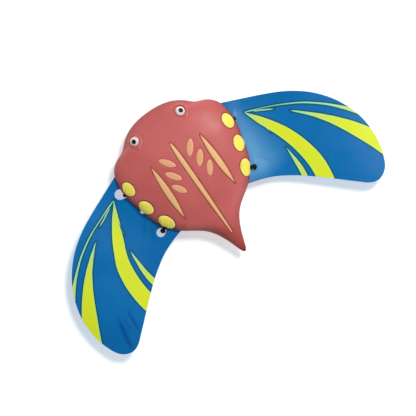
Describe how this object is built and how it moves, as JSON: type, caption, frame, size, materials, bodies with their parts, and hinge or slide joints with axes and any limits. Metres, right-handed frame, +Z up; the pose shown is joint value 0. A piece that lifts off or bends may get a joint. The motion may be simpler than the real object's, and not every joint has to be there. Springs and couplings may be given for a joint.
{
  "type": "ray-shaped pool glider",
  "caption": "Hand-thrown underwater glider shaped like a ray: a domed two-part hull with flexible swept wing sheets hooked to its flanks",
  "frame": {"origin": "centre of the overall box in plan, on the plane the belly rests on", "axes": "+Y towards the nose, +Z up through the domed back, +X towards the glider's own right wing tip"},
  "size_m": [0.347, 0.188, 0.035],
  "materials": {
    "hull_plastic": "satin",
    "wing_sheet": "gloss",
    "hook_plastic": "satin",
    "eye_white": "gloss",
    "pupil_black": "gloss",
    "washer_nylon": "satin",
    "steel": "satin",
    "foam": "matte"
  },
  "bodies": {
    "hull": {"upper_shell": "hull_plastic", "lower_shell": "hull_plastic", "eye_left": "eye_white", "eye_right": "eye_white", "pupil_left": "pupil_black", "pupil_right": "pupil_black", "front_hook_left": "hook_plastic", "front_hook_right": "hook_plastic", "rear_hook_left": "hook_plastic", "rear_hook_right": "hook_plastic", "pivot_washer_left": "washer_nylon", "pivot_washer_right": "washer_nylon", "case_screw_front_left": "steel", "case_screw_front_right": "steel", "case_screw_rear_left": "steel", "case_screw_rear_right": "steel", "case_screw_nose": "steel", "case_screw_tail": "steel", "nose_ballast": "steel", "float_block": "foam"},
    "left_root": {"wing_root_left": "wing_sheet"},
    "left_blade": {"wing_blade_left": "wing_sheet"},
    "right_root": {"wing_root_right": "wing_sheet"},
    "right_blade": {"wing_blade_right": "wing_sheet"}
  },
  "joints": [
    {"name": "left_wing_trim", "type": "hinge", "parent": "hull", "child": "left_root", "pos_m": [-0.0554, 0.01533, 0.013], "axis": [0, 0, 1], "range_deg": [-2.5, 2.5]},
    {"name": "right_wing_trim", "type": "hinge", "parent": "hull", "child": "right_root", "pos_m": [0.0554, 0.01533, 0.013], "axis": [0, 0, 1], "range_deg": [-2.5, 2.5]},
    {"name": "left_wing_flex", "type": "hinge", "parent": "left_root", "child": "left_blade", "pos_m": [-0.083, 0.05283, 0.013], "axis": [-0.1863, 0.9825, 0], "range_deg": [-25, 35], "stiffness_Nm_per_rad": 0.2, "springref_deg": 1.32},
    {"name": "right_wing_flex", "type": "hinge", "parent": "right_root", "child": "right_blade", "pos_m": [0.083, 0.05283, 0.013], "axis": [-0.1863, -0.9825, 0], "range_deg": [-25, 35], "stiffness_Nm_per_rad": 0.2, "springref_deg": 1.32}
  ]
}
